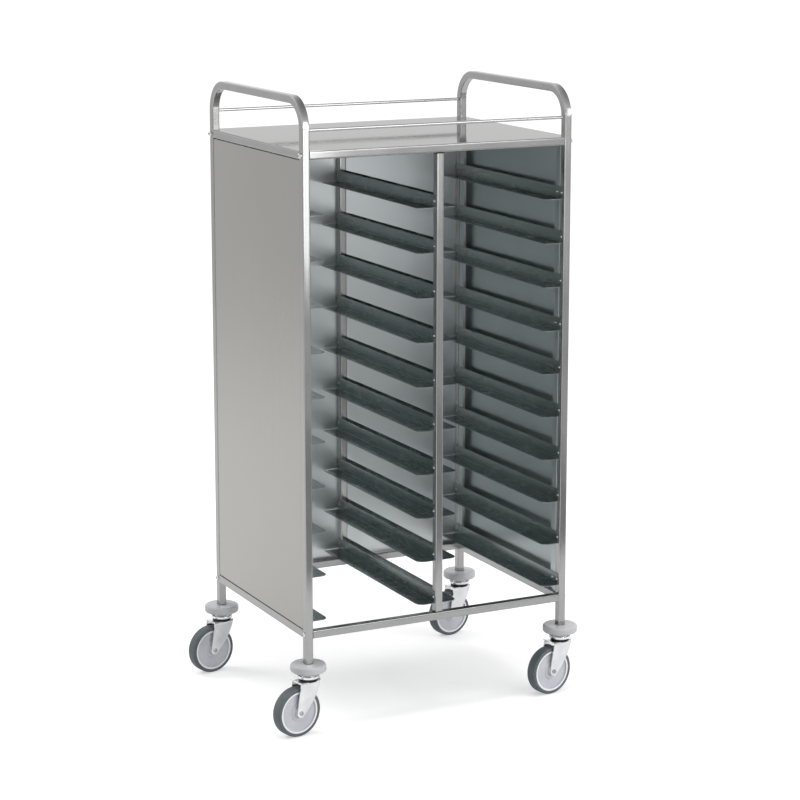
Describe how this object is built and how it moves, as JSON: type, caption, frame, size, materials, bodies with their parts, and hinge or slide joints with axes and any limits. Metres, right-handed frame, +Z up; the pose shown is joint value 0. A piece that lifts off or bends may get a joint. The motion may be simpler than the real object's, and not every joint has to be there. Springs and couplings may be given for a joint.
{
  "type": "enclosed meal tray cart",
  "caption": "Tall tray cart of stainless tube with closed sides and back, tray runners beside a middle post, a top deck with guard rails, hoop handles and swivel castors.",
  "frame": {"origin": "centre of the object's box, on the floor under the wheels", "axes": "+X to the right seen from the open front, +Y from the open front to the closed rear, +Z up"},
  "size_m": [0.8638, 0.648, 1.58],
  "materials": {
    "polished_tube": "polished stainless steel tube",
    "deck_sheet": "bright satin stainless steel sheet",
    "panel_sheet": "satin stainless steel sheet",
    "bright_rod": "polished stainless steel rod",
    "bright_fastener": "bright stainless steel",
    "dark_insert": "matt, dark",
    "runner_sheet": "satin stainless steel sheet",
    "bumper_plastic": "matt grey",
    "plated_steel": "bright plated",
    "wheel_plastic": "semi-matt light grey",
    "tyre_rubber": "matt dark grey",
    "ball_steel": "polished"
  },
  "bodies": {
    "cart": {"left_end_frame": "polished_tube", "right_end_frame": "polished_tube", "front_top_rail": "polished_tube", "rear_top_rail": "polished_tube", "front_bottom_rail": "polished_tube", "rear_bottom_rail": "polished_tube", "left_top_rail": "polished_tube", "right_top_rail": "polished_tube", "left_bottom_rail": "polished_tube", "right_bottom_rail": "polished_tube", "front_middle_post": "polished_tube", "rear_middle_post": "polished_tube", "deck": "deck_sheet", "left_panel": "panel_sheet", "right_panel": "panel_sheet", "rear_panel": "panel_sheet", "front_guard_rail": "bright_rod", "rear_guard_rail": "bright_rod", "frame_bolts": "bright_fastener", "middle_post_bolts": "bright_fastener", "rail_end_inserts": "dark_insert", "middle_post_plugs": "dark_insert", "leg_inserts": "dark_insert", "blind_rivets": "bright_fastener", "tray_runners_1": "runner_sheet", "tray_runners_2": "runner_sheet", "tray_runners_3": "runner_sheet", "tray_runners_4": "runner_sheet", "tray_runners_5": "runner_sheet", "tray_runners_6": "runner_sheet", "tray_runners_7": "runner_sheet", "tray_runners_8": "runner_sheet", "tray_runners_9": "runner_sheet", "tray_runners_10": "runner_sheet", "front_left_bumper": "bumper_plastic", "front_right_bumper": "bumper_plastic", "rear_left_bumper": "bumper_plastic", "rear_right_bumper": "bumper_plastic", "front_left_castor_head": "plated_steel", "front_right_castor_head": "plated_steel", "rear_left_castor_head": "plated_steel", "rear_right_castor_head": "plated_steel", "swivel_balls": "ball_steel"},
    "front_left_fork": {"front_left_fork": "plated_steel", "front_left_axle": "plated_steel"},
    "front_left_wheel": {"front_left_wheel": "wheel_plastic", "front_left_tyre": "tyre_rubber"},
    "front_right_fork": {"front_right_fork": "plated_steel", "front_right_axle": "plated_steel"},
    "front_right_wheel": {"front_right_wheel": "wheel_plastic", "front_right_tyre": "tyre_rubber"},
    "rear_left_fork": {"rear_left_fork": "plated_steel", "rear_left_axle": "plated_steel"},
    "rear_left_wheel": {"rear_left_wheel": "wheel_plastic", "rear_left_tyre": "tyre_rubber"},
    "rear_right_fork": {"rear_right_fork": "plated_steel", "rear_right_axle": "plated_steel"},
    "rear_right_wheel": {"rear_right_wheel": "wheel_plastic", "rear_right_tyre": "tyre_rubber"}
  },
  "joints": [
    {"name": "front_left_swivel", "type": "hinge", "parent": "cart", "child": "front_left_fork", "pos_m": [-0.33309, -0.279, 0.1463], "axis": [0, 0, 1], "continuous": true},
    {"name": "front_left_roll", "type": "hinge", "parent": "front_left_fork", "child": "front_left_wheel", "pos_m": [-0.36855, -0.28525, 0.0625], "axis": [-0.1736, 0.9848, 0], "continuous": true},
    {"name": "front_right_swivel", "type": "hinge", "parent": "cart", "child": "front_right_fork", "pos_m": [0.38691, -0.279, 0.1463], "axis": [0, 0, 1], "continuous": true},
    {"name": "front_right_roll", "type": "hinge", "parent": "front_right_fork", "child": "front_right_wheel", "pos_m": [0.35146, -0.28525, 0.0625], "axis": [-0.1736, 0.9848, 0], "continuous": true},
    {"name": "rear_left_swivel", "type": "hinge", "parent": "cart", "child": "rear_left_fork", "pos_m": [-0.33309, 0.279, 0.1463], "axis": [0, 0, 1], "continuous": true},
    {"name": "rear_left_roll", "type": "hinge", "parent": "rear_left_fork", "child": "rear_left_wheel", "pos_m": [-0.36855, 0.27275, 0.0625], "axis": [-0.1736, 0.9848, 0], "continuous": true},
    {"name": "rear_right_swivel", "type": "hinge", "parent": "cart", "child": "rear_right_fork", "pos_m": [0.38691, 0.279, 0.1463], "axis": [0, 0, 1], "continuous": true},
    {"name": "rear_right_roll", "type": "hinge", "parent": "rear_right_fork", "child": "rear_right_wheel", "pos_m": [0.35146, 0.27275, 0.0625], "axis": [-0.1736, 0.9848, 0], "continuous": true}
  ]
}
